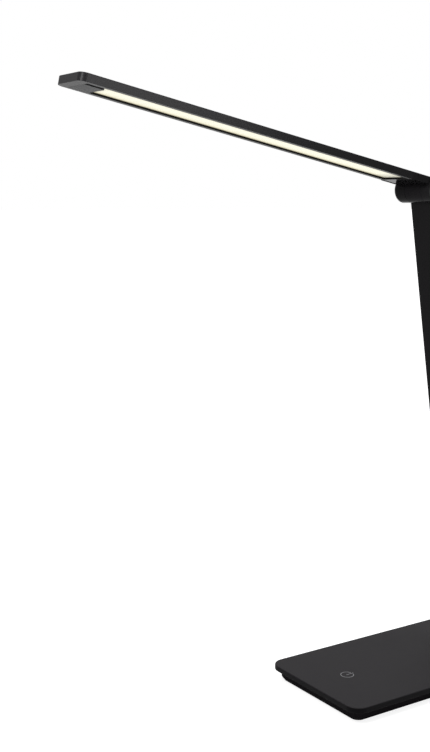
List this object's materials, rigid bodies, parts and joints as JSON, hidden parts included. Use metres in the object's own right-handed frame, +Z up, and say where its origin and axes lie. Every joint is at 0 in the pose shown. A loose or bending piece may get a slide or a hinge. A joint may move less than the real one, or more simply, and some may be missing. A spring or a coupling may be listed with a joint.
{
  "type": "led table lamp",
  "caption": "Folding LED table lamp: flat weighted base with a touch mark, flat tilting arm and a slim light bar that tilts and swivels on a barrel hinge.",
  "frame": {"origin": "centre of the base's underside, on the table", "axes": "+Z up; X along the base, with the light bar reaching towards -X; Y along the hinge barrels"},
  "size_m": [0.392, 0.108, 0.4606],
  "materials": {
    "base_plate": "fine satin charcoal",
    "black_plastic": "satin black",
    "black_aluminium": "fine black coat",
    "cover_plate": "satin grey",
    "cap_grey": "turned, dark grey",
    "rubber": "matte",
    "ballast": "rough",
    "mark": "light inlay",
    "contact": "plain",
    "board_green": "solder mask",
    "board_parts": "moulded",
    "pin": "plated",
    "steel": "plain",
    "bush_brass": "turned",
    "washer": "low friction",
    "wire": "insulated",
    "led_board": "white mask",
    "led": "phosphor",
    "diffuser": "opal"
  },
  "bodies": {
    "base": {"base_tray": "black_plastic", "base_top_plate": "base_plate", "ballast_plate": "ballast", "antislip_pad": "rubber", "touch_icon": "mark", "touch_electrode": "contact", "touch_spring": "contact", "control_board": "board_green", "board_parts": "board_parts", "dc_inlet": "board_parts", "dc_pin": "pin", "base_screws": "steel", "hinge_foot": "black_plastic", "foot_screws": "steel", "base_wires": "wire"},
    "arm": {"arm_tube": "black_aluminium", "arm_lower_fork": "black_plastic", "base_hinge_axle": "steel", "base_hinge_nut": "steel", "base_hinge_disc_spring": "steel", "base_hinge_friction_washers": "washer", "base_hinge_caps": "cap_grey", "arm_top_plug": "black_plastic", "swivel_bush": "bush_brass", "swivel_retainer": "steel", "arm_wire": "wire"},
    "swivel": {"swivel_knuckle": "black_plastic", "swivel_washer": "washer"},
    "head": {"head_profile": "black_aluminium", "head_fork": "black_plastic", "tip_cap": "black_plastic", "tip_cover_plate": "cover_plate", "led_board": "led_board", "leds": "led", "diffuser": "diffuser", "head_hinge_axle": "steel", "head_hinge_nut": "steel", "head_hinge_disc_spring": "steel", "head_hinge_friction_washers": "washer", "head_hinge_caps": "cap_grey", "head_wire": "wire"}
  },
  "joints": [
    {"name": "base_hinge", "type": "hinge", "parent": "base", "child": "arm", "pos_m": [0.06625, 0, 0.0268], "axis": [0, -1, 0], "range_deg": [-30, 81]},
    {"name": "head_swivel", "type": "hinge", "parent": "arm", "child": "swivel", "pos_m": [0.00878, 0, 0.3917], "axis": [-0.1556, 0, 0.9878], "range_deg": [-180, 180]},
    {"name": "head_tilt", "type": "hinge", "parent": "swivel", "child": "head", "pos_m": [0.00463, 0, 0.39105], "axis": [0, -1, 0], "range_deg": [-30, 111]}
  ]
}
